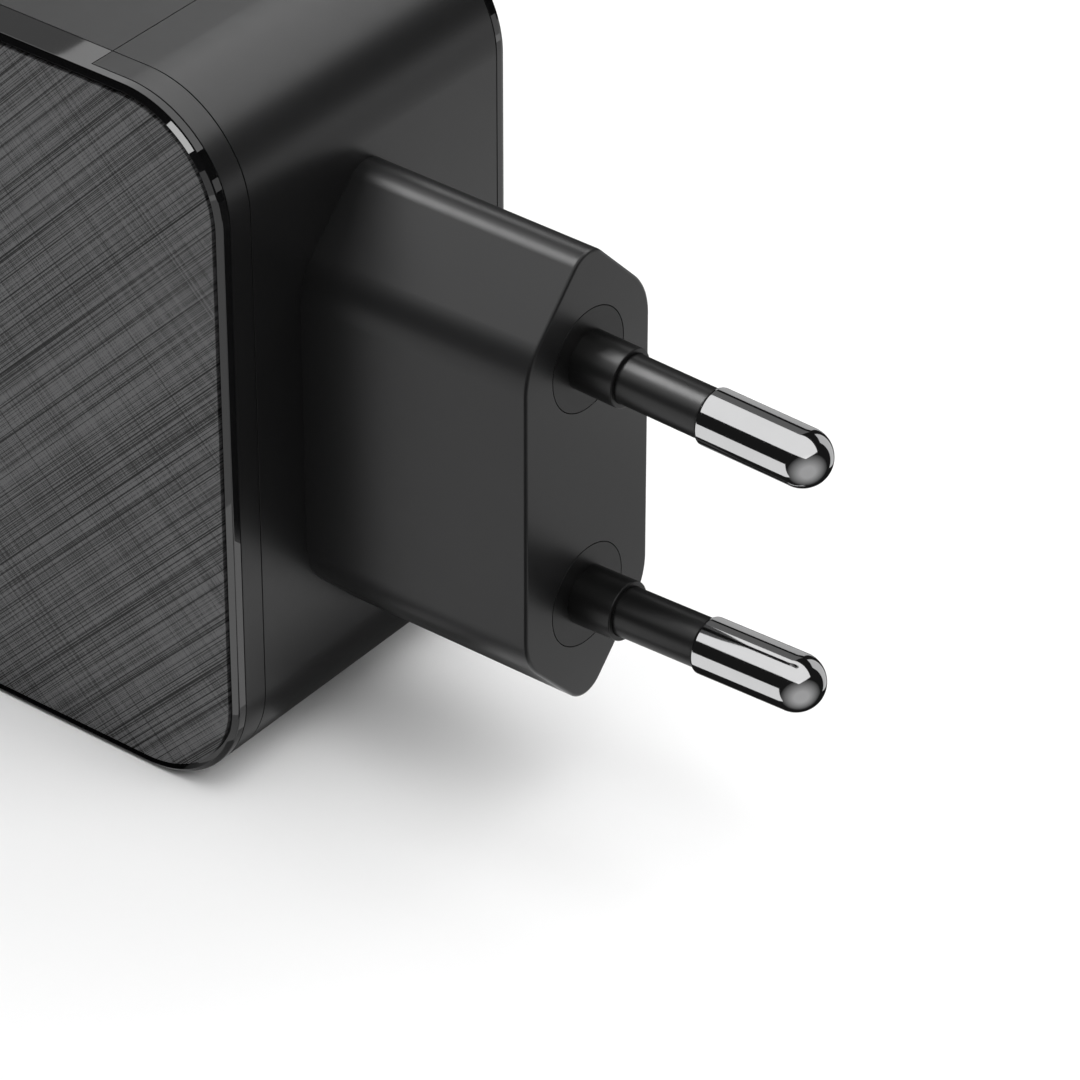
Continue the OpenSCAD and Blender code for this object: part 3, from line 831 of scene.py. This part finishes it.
def brushed_film():
    """Crossing sets of fine straight lines at 45 degrees, the rising ones darker."""
    finish = Finish("brushed_film", (0.056, 0.056, 0.057), 0.5, ior=1.27)
    rising = math.radians(-45)
    falling = math.radians(45)
    scratch = threads(finish, 0.07, 90, rising, 3.1)
    fine = threads(finish, 0.06, 40, rising, 11.7)
    cross = threads(finish, 0.08, 60, falling, 23.9)
    cross_fine = threads(finish, 0.06, 30, falling, 31.3)
    glint = finish.remap(threads(finish, 0.12, 150, falling, 47.7), 0.6, 0.68, 1, 1.8)
    patches = finish.remap(finish.noise(7, 1, (1, 3, 1), (rising, 0, 0)), 0.4, 0.6, 0, 0.045)
    depth = finish.combine("SUBTRACT", scratch, patches)
    dark = finish.remap(depth, 0.35, 0.43, 0.3, 1, smooth=True)
    dark_fine = finish.remap(fine, 0.38, 0.55, 0.0, 1.35)
    light = finish.remap(cross, 0.43, 0.66, 0.72, 2.1)
    light_fine = finish.remap(cross_fine, 0.38, 0.6, 0.5, 1.5)
    rising_lines = finish.combine("MULTIPLY", dark, dark_fine)
    falling_lines = finish.combine("MULTIPLY", finish.combine("MULTIPLY", light, glint), light_fine)
    grain = finish.remap(finish.noise(0.09, 1), *NOISE_RANGE, 0.5, 1.5)
    lines = finish.combine("MULTIPLY", rising_lines, falling_lines)
    weave = finish.combine("MULTIPLY", lines, grain)
    return finish.pattern(weave, (0.42, 0.55), (0.03, 1.9), 0.01, 0.25)


def pin_plating():
    """Bright plate with the faint turning lines of the pin below it."""
    finish = Finish("pin_plating", (0.66, 0.66, 0.665), 0.07, metallic=1)
    lines = finish.noise(0.15, 2, (12, 1, 12))
    finish.vary_roughness(lines, 0.055, 0.085)
    finish.vary_color(finish.noise(1.5), 0.97, 1.03)
    finish.bump(lines, 0.001, 0.15)
    return finish.material


def pin_sleeve():
    """Satin insulation with a slight waviness along the pin."""
    finish = Finish("pin_sleeve", (0.006, 0.006, 0.006), 0.35)
    finish.vary_roughness(finish.noise(0.5), 0.34, 0.36)
    finish.vary_color(finish.noise(0.3), 0.9, 1.1)
    finish.bump(finish.noise(0.25), 0.0001, 0.1)
    return finish.material


def pin_insert_plastic():
    """Moulded insert, a little smoother than the shell round it."""
    finish = Finish("pin_insert_plastic", (0.007, 0.007, 0.007), 0.34)
    finish.vary_roughness(finish.noise(0.8), 0.32, 0.36)
    finish.vary_color(finish.noise(0.3), 0.9, 1.1)
    finish.bump(finish.noise(0.09, 3), 0.0005, 0.2)
    return finish.material


def port_steel():
    """Nickel-plated steel with drawing lines along the port."""
    finish = Finish("port_steel", (0.6, 0.61, 0.62), 0.25, metallic=1)
    lines = finish.noise(0.06, 3, (1, 30, 1))
    return finish.pattern(lines, (0.2, 0.32), (0.92, 1.06), 0.002, 0.2)


def black_moulding():
    """Glass-filled black moulding, with a faint mottle."""
    finish = Finish("black_moulding", (0.014, 0.014, 0.014), 0.5)
    mottle = finish.noise(0.2, 4)
    return finish.pattern(mottle, (0.42, 0.58), (0.7, 1.3), 0.01, 0.2)


# ---- inner materials


def circuit_board():
    """Green solder mask over a glass weave."""
    finish = Finish("circuit_board", (0.012, 0.09, 0.035), 0.4)
    weave = finish.combine("MULTIPLY", finish.noise(0.4, 1, (1, 6, 1)), finish.noise(0.4, 1, (1, 1, 6)))
    finish.vary_roughness(finish.noise(3), 0.35, 0.45)
    finish.vary_color(weave, 0.75, 1.6)
    finish.bump(weave, 0.01, 0.3)
    return finish.material


def insulation_film():
    """Milky polyester sheet."""
    finish = Finish("insulation_film", (0.74, 0.73, 0.66), 0.45)
    cloud = finish.noise(5, 4)
    finish.vary_roughness(cloud, 0.4, 0.5)
    finish.vary_color(cloud, 0.92, 1.04)
    finish.bump(finish.noise(0.3), 0.005, 0.2)
    return finish.material


def rolled_aluminium():
    """Sheet with fine rolling lines."""
    finish = Finish("rolled_aluminium", (0.74, 0.75, 0.77), 0.35, metallic=1)
    lines = finish.noise(0.08, 3, (1, 50, 1))
    return finish.pattern(lines, (0.3, 0.45), (0.9, 1.05), 0.004, 0.3)


def silicone_pad():
    """Soft filled silicone, slightly mottled."""
    finish = Finish("silicone_pad", (0.27, 0.38, 0.55), 0.7)
    mottle = finish.noise(0.6, 4)
    return finish.pattern(mottle, (0.62, 0.78), (0.85, 1.12), 0.03, 0.4)


def ferrite():
    """Pressed and sintered ferrite, with fine pores."""
    finish = Finish("ferrite", (0.045, 0.043, 0.043), 0.6)
    pores = finish.noise(0.15, 5)
    return finish.pattern(pores, (0.5, 0.7), (0.7, 1.3), 0.015, 0.5)


def coated_ferrite():
    """Ring core under a coat of green paint."""
    finish = Finish("coated_ferrite", (0.07, 0.21, 0.1), 0.4)
    skin = finish.noise(0.8, 2)
    return finish.pattern(skin, (0.34, 0.46), (0.88, 1.1), 0.03, 0.3)


def phenolic():
    """Dark moulded phenolic resin."""
    finish = Finish("phenolic", (0.013, 0.012, 0.012), 0.5)
    grain = finish.noise(0.25, 4)
    return finish.pattern(grain, (0.42, 0.58), (0.7, 1.4), 0.008, 0.3)


def enamelled(name, color, turn_width):
    """Enamelled wire laid turn by turn."""
    finish = Finish(name, color, 0.3, metallic=0.8)
    turns = finish.noise(turn_width, 1, (1, 1, 30))
    return finish.pattern(turns, (0.24, 0.38), (0.6, 1.15), 0.06, 0.5)


def polyester_tape(name, color):
    """Wound tape with faint wrinkles."""
    finish = Finish(name, color, 0.3)
    wrinkles = finish.noise(1.5, 3, (1, 1, 5))
    return finish.pattern(wrinkles, (0.25, 0.4), (0.88, 1.06), 0.04, 0.4)


def capacitor_sleeve():
    """Shrunk sleeve over a bulk capacitor's can."""
    finish = Finish("capacitor_sleeve", (0.01, 0.01, 0.018), 0.32)
    shrink = finish.noise(2, 2, (3, 1, 1))
    return finish.pattern(shrink, (0.28, 0.38), (0.85, 1.2), 0.02, 0.3)


def capacitor_can():
    """Bare drawn aluminium can."""
    finish = Finish("capacitor_can", (0.78, 0.78, 0.8), 0.28, metallic=1)
    drawn = finish.noise(0.1, 3, (30, 1, 1))
    return finish.pattern(drawn, (0.22, 0.36), (0.94, 1.03), 0.003, 0.2)


def moulded(name, color, roughness, grain_size):
    """Plain moulded case with a fine grain."""
    finish = Finish(name, color, roughness)
    grain = finish.noise(grain_size, 3)
    return finish.pattern(grain, (roughness - 0.06, roughness + 0.06), (0.85, 1.12), 0.01, 0.3)


def plated(name, color, roughness):
    """Stamped and plated contact metal."""
    finish = Finish(name, color, roughness, metallic=1)
    stamping = finish.noise(0.1, 3, (1, 12, 1))
    return finish.pattern(stamping, (roughness - 0.05, roughness + 0.08), (0.92, 1.05), 0.002, 0.2)


# A finish, what it is called with, and the CAD nodes that it goes on
INNER_FINISHES = (
    (circuit_board, (), ("main_board", "port_board")),
    (insulation_film, (), ("insulation_sheet", "isolation_barrier")),
    (rolled_aluminium, (), ("heat_spreader_right", "heat_spreader_left")),
    (silicone_pad, (), ("thermal_pad",)),
    (ferrite, (), ("transformer_core_inner", "transformer_core_outer")),
    (coated_ferrite, (), ("choke_core",)),
    (phenolic, (), ("transformer_bobbin",)),
    (enamelled, ("primary_wire", (0.48, 0.16, 0.05), 0.2),
     ("primary_winding", "choke_winding_live", "choke_winding_neutral")),
    (enamelled, ("secondary_wire", (0.62, 0.36, 0.1), 0.45), ("secondary_winding",)),
    (polyester_tape, ("yellow_tape", (0.78, 0.58, 0.04)), ("winding_tape",)),
    (polyester_tape, ("adhesive_tape", (0.68, 0.62, 0.44)), ("panel_tape_right", "panel_tape_left")),
    (capacitor_sleeve, (), ("bulk_capacitor_1", "bulk_capacitor_2", "bulk_capacitor_3")),
    (capacitor_can, (), ("output_capacitor_1", "output_capacitor_2")),
    (moulded, ("film_capacitor_case", (0.78, 0.52, 0.02), 0.4, 0.5), ("x_capacitor",)),
    (moulded, ("disc_capacitor_coat", (0.03, 0.16, 0.52), 0.45, 0.3), ("y_capacitor",)),
    (moulded, ("thermistor_coat", (0.02, 0.07, 0.03), 0.5, 0.3), ("inrush_thermistor",)),
    (moulded, ("chip_epoxy", (0.011, 0.011, 0.011), 0.55, 0.12),
     ("fuse", "bridge_rectifier", "optocoupler", "primary_switch", "primary_controller",
      "sync_rectifier", "port_controller")),
    (moulded, ("inductor_powder", (0.075, 0.075, 0.078), 0.6, 0.15),
     ("output_inductor_1", "output_inductor_2")),
    (plated, ("brass_strip", (0.66, 0.46, 0.15), 0.3), ("contact_strip_upper", "contact_strip_lower")),
    (plated, ("gold_contact", (0.85, 0.6, 0.22), 0.2), ("usb_c_contacts", "usb_a_contacts")),
)


# ---- stage

CEILING = 0.6            # height of the softboxes overhead, in metres
CARD_DISTANCE = 0.6      # of the other softboxes from the origin, in metres
FLOOR_REACH = 6.0        # from the middle to an edge, in metres
WORLD_LEVEL = 0.012      # what the surroundings add to every surface
FILL_RADIANCE = 0.045
METAL_DOMES = range(132, 50, -9)     # degrees across; together one patch that fades outwards
FLOOR_WHITE = 0.9
FLOOR_ROUGHNESS = 0.9
# azimuth, elevation and width in degrees, and the share of white each adds to the open floor
FLOOR_LIGHTS = (
    (90, 55, 50, 0.55),
    (180, 55, 50, 0.23),
    (50, 78, 40, 0.17),
    (0, 55, 50, 0.06),
    (75, 28, 50, 0.054),
    (165, 28, 50, 0.045),
)
CAMERA_AIM = Vector((3.72, -1.04, -3.29))
CAMERA_AZIMUTH = 37.863
CAMERA_ELEVATION = 34.961
CAMERA_DISTANCE = 407.53
CAMERA_LENS = 208.86
CAMERA_SENSOR = 36


def studio_floor():
    """Plain pale floor under the charger. Its own mirror image stays out of the gloss."""
    reach = FLOOR_REACH
    z = -HALF_H * MM
    data = bpy.data.meshes.new("studio_floor")
    data.from_pydata([(-reach, -reach, z), (reach, -reach, z), (reach, reach, z),
                      (-reach, reach, z)], [], [(0, 1, 2, 3)])
    floor = add_object("studio_floor", data)
    paper = bpy.data.materials.new("floor_paper")
    paper.use_nodes = True
    shader = paper.node_tree.nodes["Principled BSDF"]
    set_inputs(shader, {"Base Color": (FLOOR_WHITE, FLOOR_WHITE, FLOOR_WHITE, 1),
                        "Roughness": FLOOR_ROUGHNESS, "Specular IOR Level": 0})
    data.materials.append(paper)
    floor.visible_glossy = False
    floor.visible_shadow = False
    return floor


def direction(azimuth, elevation):
    """Unit vector; azimuth turns from +X towards +Y."""
    a = math.radians(azimuth)
    e = math.radians(elevation)
    return Vector((math.cos(e) * math.cos(a), math.cos(e) * math.sin(a), math.sin(e)))


def lit_only(lamp, pieces):
    """The lamp lights these pieces and nothing else."""
    group = bpy.data.collections.new("lit_by_" + lamp.name)
    for piece in pieces:
        group.objects.link(piece)
    lamp.light_linking.receiver_collection = group


def softbox(name, centre, size, radiance, pieces, target=None):
    """Light of an even radiance, hidden from the camera. It faces its target, or down."""
    light = bpy.data.lights.new(name, "AREA")
    light.shape = "RECTANGLE"
    light.size, light.size_y = size
    light.energy = radiance * size[0] * size[1] * math.pi
    lamp = add_object(name, light)
    lamp.location = centre
    if target is not None:
        lamp.rotation_mode = "QUATERNION"
        lamp.rotation_quaternion = (Vector(centre) - Vector(target)).to_track_quat("Z", "Y")
    lamp.visible_camera = False
    lit_only(lamp, pieces)
    return lamp


def ceiling_light(name, x, y, radiance, pieces):
    """Softbox overhead that spans x and y, both as a share of its height."""
    centre = (sum(x) / 2 * CEILING, sum(y) / 2 * CEILING, CEILING)
    size = ((x[1] - x[0]) * CEILING, (y[1] - y[0]) * CEILING)
    softbox(name, centre, size, radiance, pieces)


def floor_card(name, x, y, radiance, pieces):
    """Light that lies on the floor and faces up, in place of the floor's own reflection."""
    centre = (sum(x) / 2 * MM, sum(y) / 2 * MM, -HALF_H * MM)
    size = ((x[1] - x[0]) * MM, (y[1] - y[0]) * MM)
    above = (centre[0], centre[1], centre[2] + 1)
    softbox(name, centre, size, radiance, pieces, above)


def card(name, azimuth, elevation, width, height, radiance, pieces):
    """Softbox that faces the object from a direction; its size is in degrees."""
    centre = direction(azimuth, elevation) * CARD_DISTANCE
    size = [2 * CARD_DISTANCE * math.tan(math.radians(a / 2)) for a in (width, height)]
    return softbox(name, centre, size, radiance, pieces, (0, 0, 0))


def dome(name, azimuth, elevation, width, radiance, pieces):
    """Distant round patch of even brightness, width degrees across."""
    light = bpy.data.lights.new(name, "SUN")
    light.angle = math.radians(width)
    light.energy = radiance * math.pi * math.sin(math.radians(width / 2)) ** 2
    lamp = add_object(name, light)
    lamp.rotation_mode = "QUATERNION"
    lamp.rotation_quaternion = direction(azimuth, elevation).to_track_quat("Z", "Y")
    lit_only(lamp, pieces)


def lights_on_metal(pieces):
    """Bright ceiling and cards with dark gaps between them, for the plated pins."""
    ceiling_light("metal_top", (-0.43, 1.35), (-0.95, 1.45), 1.0, pieces)
    ceiling_light("metal_top_left", (-1.3, -0.35), (-1.1, -0.4), 0.13, pieces)
    card("metal_left", -149, 2, 24, 42, 0.46, pieces)
    card("metal_left_low", -140, -42, 24, 20, 0.6, pieces)
    card("metal_low", -40, -31, 30, 44, 0.9, pieces)
    card("metal_far_side", 167, 0, 35, 70, 0.6, pieces)
    for width in METAL_DOMES:
        dome("metal_front_%d" % width, 55, -25, width, 0.047, pieces)


def lights_on_shells(pieces):
    """Soft light for the satin shells and the film panels."""
    ceiling_light("shell_left", (-1.4, -0.63), (-0.55, 0.95), 3.15, pieces)
    ceiling_light("shell_left_rear", (-1.4, -0.88), (-1.2, -0.55), 3.3, pieces)
    ceiling_light("shell_left_core", (-1.1, -0.48), (-0.5, 0.3), 1.1, pieces)
    ceiling_light("shell_strip", (0.02, 0.5), (-0.95, -0.3), 8.6, pieces)
    ceiling_light("shell_wide", (-0.4, 1.4), (-1.2, 1.2), 1.15, pieces)
    card("shell_horizon", 130, -1, 34, 9, 0.9, pieces)
    floor_card("shell_rear", (-600, 10), (-8, 600), 0.52, pieces)
    floor_card("shell_rear_near", (-600, 10), (-8, 6), 0.5, pieces)
    floor_card("shell_rear_far", (-600, -40), (6, 30), 0.42, pieces)
    floor_card("shell_rear_foot", (1.5, 12), (-12, -8), 0.6, pieces)
    floor_card("shell_band_foot", (6, 12), (-20, -14), 0.35, pieces)
    floor_card("shell_low", (17, 600), (-600, -5), 0.85, pieces)


def lights_on_gloss(pieces):
    """Small crisp lights that the piano black frames mirror."""
    right, left, fascia = pieces
    ceiling_light("gloss_left", (-1.5, -0.65), (-1.16, 1.15), 2.1, pieces)
    ceiling_light("gloss_left_far", (-1.6, -0.65), (-2.0, -1.16), 0.5, pieces)
    corner = card("gloss_corner", 18.5, 35, 28, 20, 8, pieces)
    corner.data.shape = "ELLIPSE"
    ceiling_light("gloss_rim", (-1.05, 0.6), (-1.3, -0.9), 1.1, pieces)
    card("gloss_horizon", 130.5, 5.5, 14, 9.5, 1.0, [right])
    card("gloss_far_strip", 134, -9, 18, 20, 1.0, [left])
    card("gloss_bevel", 41, 5, 15, 20, 0.9, pieces)
    floor_card("gloss_low", (18, 600), (-12, 600), 1.1, pieces)
    floor_card("gloss_low_near", (20, 38), (-12, 9), 0.9, pieces)
    floor_card("gloss_rear", (-600, 10), (-11, 100), 1.2, [right])
    floor_card("gloss_far_rear", (-600, 10), (-11, 100), 0.85, [left, fascia])
    floor_card("gloss_side", (16, 600), (-600, -12), 0.85, pieces)
    floor_card("gloss_foot", (5, 16), (-17, -11), 0.6, pieces)
    floor_card("gloss_foot_far", (5, 16), (-30, -17), 0.22, pieces)


def lights_on_pins(pieces):
    """Light for the sleeves and inserts of the pins."""
    ceiling_light("sleeve_strip", (-0.2, 0.38), (-0.95, -0.3), 11.5, pieces)
    ceiling_light("sleeve_wide", (-0.4, 1.4), (-1.2, 1.2), 1.2, pieces)
    ceiling_light("sleeve_left", (-1.5, -1.0), (-1.2, 1.1), 1.3, pieces)
    floor_card("sleeve_rear", (-600, 10), (-11, 600), 0.52, pieces)
    floor_card("sleeve_low", (16, 600), (-600, -5), 1.0, pieces)


def floor_light(floor, azimuth, elevation, width, share):
    """Distant soft light on the floor alone, which casts the charger's shadow."""
    spread = math.sin(math.radians(width / 2)) ** 2
    radiance = share / (FLOOR_WHITE * spread * math.sin(math.radians(elevation)))
    dome("floor_%d_%d" % (azimuth, elevation), azimuth, elevation, width, radiance, [floor])


def surroundings():
    """Pale behind the object for the camera, and nearly black for everything else."""
    world = bpy.data.worlds.new("studio")
    bpy.context.scene.world = world
    world.use_nodes = True
    tree = world.node_tree
    path = tree.nodes.new("ShaderNodeLightPath")
    shade = tree.nodes.new("ShaderNodeMapRange")
    set_inputs(shade, {"To Min": WORLD_LEVEL, "To Max": 1})
    tree.links.new(path.outputs["Is Camera Ray"], shade.inputs["Value"])
    tree.links.new(shade.outputs["Result"], tree.nodes["Background"].inputs["Color"])


def studio_lights(floor, metal, shells, gloss, pins):
    """Each kind of surface has its own lights, as a retouched product picture does."""
    lights_on_metal(metal)
    lights_on_shells(shells)
    lights_on_gloss(gloss)
    lights_on_pins(pins)
    for azimuth in (52, 232):
        dome("fill_%d" % azimuth, azimuth, 0, 179, FILL_RADIANCE, shells + pins)
    for values in FLOOR_LIGHTS:
        floor_light(floor, *values)
    surroundings()


def studio_camera():
    """Long lens, looking down on the pins from the +X side."""
    data = bpy.data.cameras.new("camera")
    data.sensor_width = CAMERA_SENSOR
    data.lens = CAMERA_LENS
    data.clip_start = 0.01
    data.clip_end = 50
    camera = add_object("camera", data)
    back = direction(CAMERA_AZIMUTH, CAMERA_ELEVATION)
    camera.location = (CAMERA_AIM + back * CAMERA_DISTANCE) * MM
    camera.rotation_mode = "QUATERNION"
    camera.rotation_quaternion = back.to_track_quat("Z", "Y")
    bpy.context.scene.camera = camera


# ---- scene


def give(piece, material):
    piece.data.materials.clear()
    piece.data.materials.append(material)
    return piece


def metal_pieces():
    plating = pin_plating()
    steel = port_steel()
    pieces = [give(pin_metal(side, label), plating) for side, label in PINS]
    return pieces + [give(port_sleeve(node), steel) for node in PORTS]


def satin_pieces():
    satin = satin_shell()
    film = brushed_film()
    moulding = black_moulding()
    shells = [give(piece, satin) for piece in (rear_cover(), front_cover(), rear_rim_band())]
    panels = [(1, "side_panel_right"), (-1, "side_panel_left")]
    films = [give(film_panel(side, node), film) for side, node in panels]
    tongues = [port_tongue(node, *sizes) for node, sizes in TONGUES.items()]
    return shells + films + [give(piece, moulding) for piece in tongues]


def glossy_pieces():
    gloss = gloss_black()
    frames = (glossy_frame_right(), glossy_frame_left(), fascia_plate())
    return [give(piece, gloss) for piece in frames]


def pin_plastic_pieces():
    insulation = pin_sleeve()
    insert = pin_insert_plastic()
    sleeves = [give(pin_insulation(side, label), insulation) for side, label in PINS]
    return sleeves + [give(pin_insert(side, label), insert) for side, label in PINS]


def dress_inner_nodes():
    """Materials for the CAD nodes that keep their shape."""
    for finish, values, nodes in INNER_FINISHES:
        material = finish(*values)
        for node in nodes:
            give(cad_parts[node], material)


metal = metal_pieces()
shells = satin_pieces()
gloss = glossy_pieces()
pins = pin_plastic_pieces()
dress_inner_nodes()
floor = studio_floor()
studio_lights(floor, metal, shells, gloss, pins)
studio_camera()
bpy.context.scene.view_settings.view_transform = "Standard"
